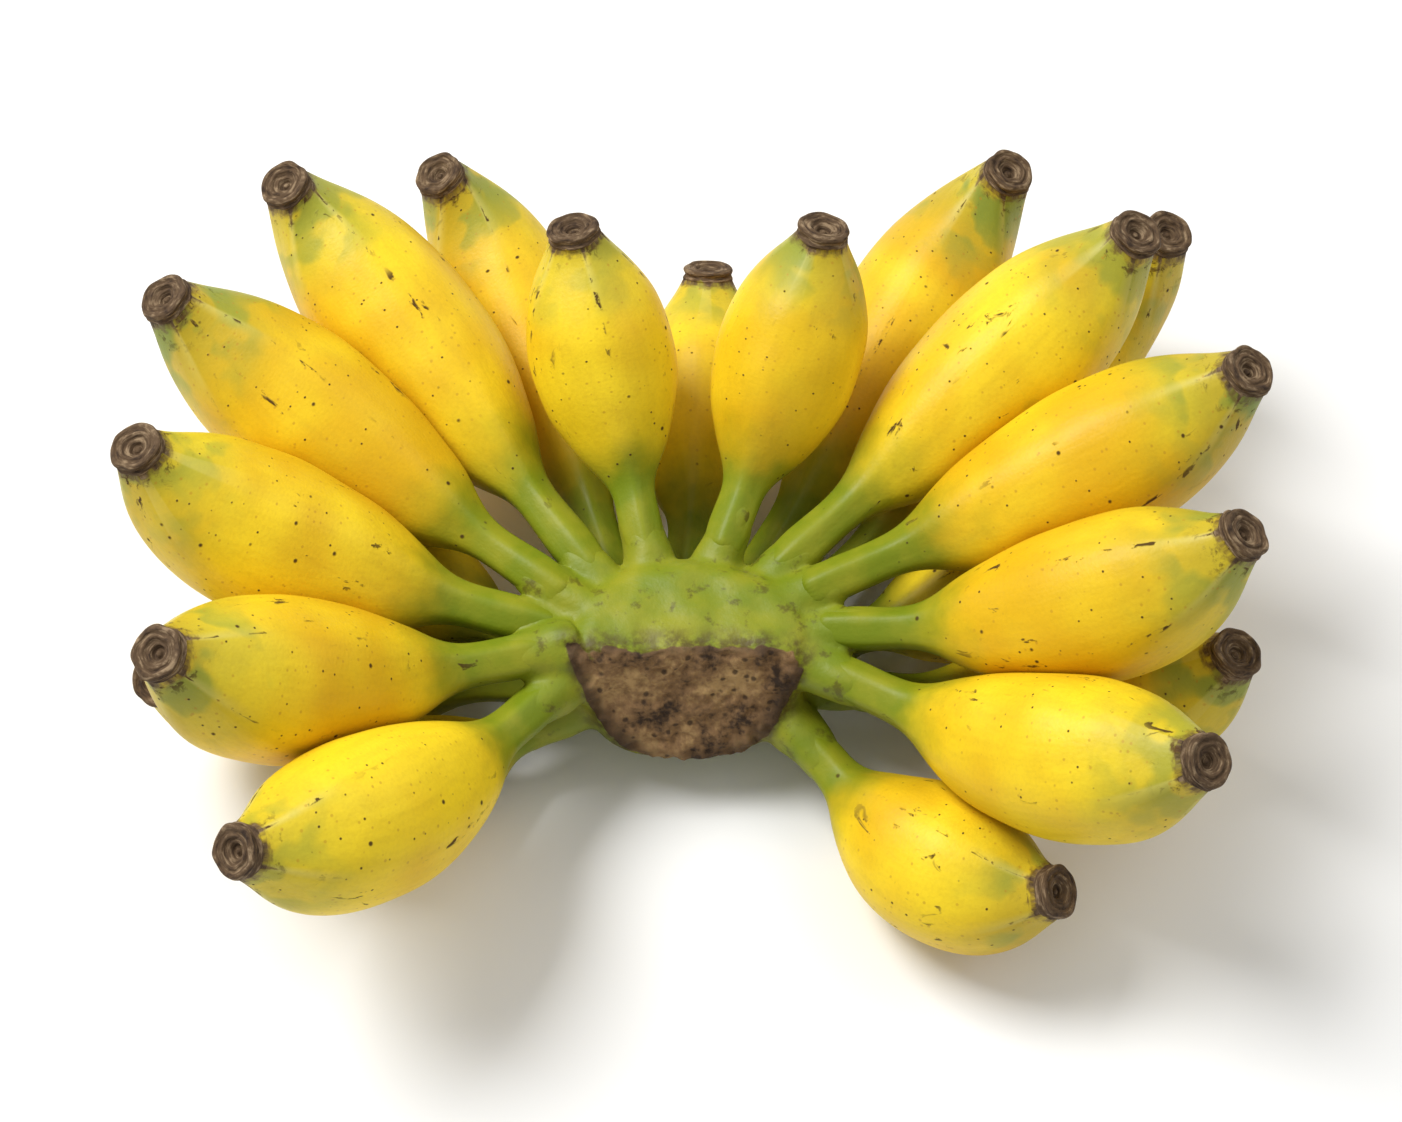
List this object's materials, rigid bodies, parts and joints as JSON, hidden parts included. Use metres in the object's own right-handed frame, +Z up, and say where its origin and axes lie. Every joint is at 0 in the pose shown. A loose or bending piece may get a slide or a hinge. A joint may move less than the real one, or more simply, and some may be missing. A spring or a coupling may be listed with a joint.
{
  "type": "hand of small bananas",
  "caption": "Hand of small, plump ripe bananas joined at a cut crown, lying with its tips curving up.",
  "frame": {"origin": "under the middle of the hand, on the surface that it lies on (centre of the bounding box's bottom)", "axes": "+Z up from the surface; +X along the fan of fingers, its widest way; +Y from the crown towards the middle fingers, so the crown's cut face looks to -Y"},
  "size_m": [0.213, 0.17, 0.076],
  "materials": {
    "peel": "semi-matt waxy peel",
    "crown": "fibrous stem, dry brown at the cut"
  },
  "bodies": {
    "root": {"crown": "crown", "finger_upper_1": "peel", "finger_upper_2": "peel", "finger_upper_3": "peel", "finger_upper_4": "peel", "finger_upper_5": "peel", "finger_upper_6": "peel", "finger_upper_7": "peel", "finger_upper_8": "peel", "finger_upper_9": "peel", "finger_upper_10": "peel", "finger_upper_11": "peel", "finger_lower_1": "peel", "finger_lower_2": "peel", "finger_lower_3": "peel", "finger_lower_4": "peel", "finger_lower_5": "peel", "finger_lower_6": "peel", "finger_lower_7": "peel", "finger_lower_8": "peel", "finger_lower_9": "peel", "finger_lower_10": "peel"}
  },
  "joints": []
}
